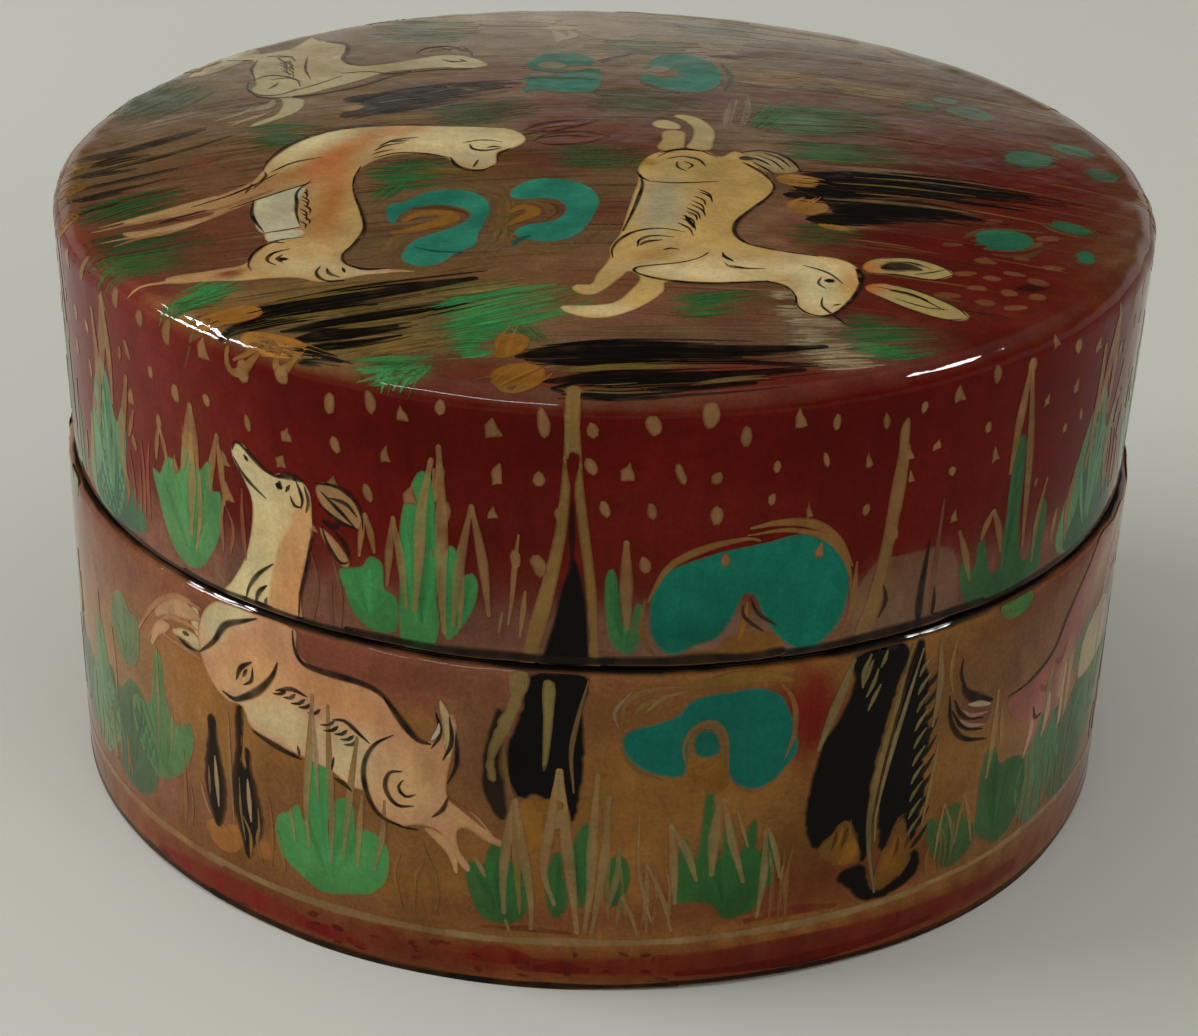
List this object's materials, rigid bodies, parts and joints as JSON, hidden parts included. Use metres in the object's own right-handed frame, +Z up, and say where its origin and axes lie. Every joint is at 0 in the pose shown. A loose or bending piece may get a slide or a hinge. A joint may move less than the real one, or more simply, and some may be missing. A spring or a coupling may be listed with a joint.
{
  "type": "round papier mache box",
  "caption": "Round box of papier mache with a lift-off lid, a glued-in collar that locates it, and a painted and lacquered outer skin of running deer and hares among foliage.",
  "frame": {"origin": "centre of the foot, on the surface the box stands on", "axes": "+Z up along the box's turning axis, -Y the side that faces the viewer, +X to the viewer's right"},
  "size_m": [0.1002, 0.1002, 0.0571],
  "materials": {
    "black_lacquered_paper": "pasted paper, painted black and thinly varnished",
    "painted_lacquer_base": "tempera over a chalk ground, under many coats of clear lacquer",
    "painted_lacquer_lid": "tempera over a chalk ground, under many coats of clear lacquer"
  },
  "bodies": {
    "base": {"base_wall": "black_lacquered_paper", "base_floor": "black_lacquered_paper", "base_collar": "black_lacquered_paper", "base_skin": "painted_lacquer_base"},
    "lid": {"lid_wall": "black_lacquered_paper", "lid_top": "black_lacquered_paper", "lid_skin": "painted_lacquer_lid"}
  },
  "joints": [
    {"name": "lid_lift", "type": "slide", "parent": "base", "child": "lid", "axis": [0, 0, 1], "range_m": [0, 0.07]}
  ]
}
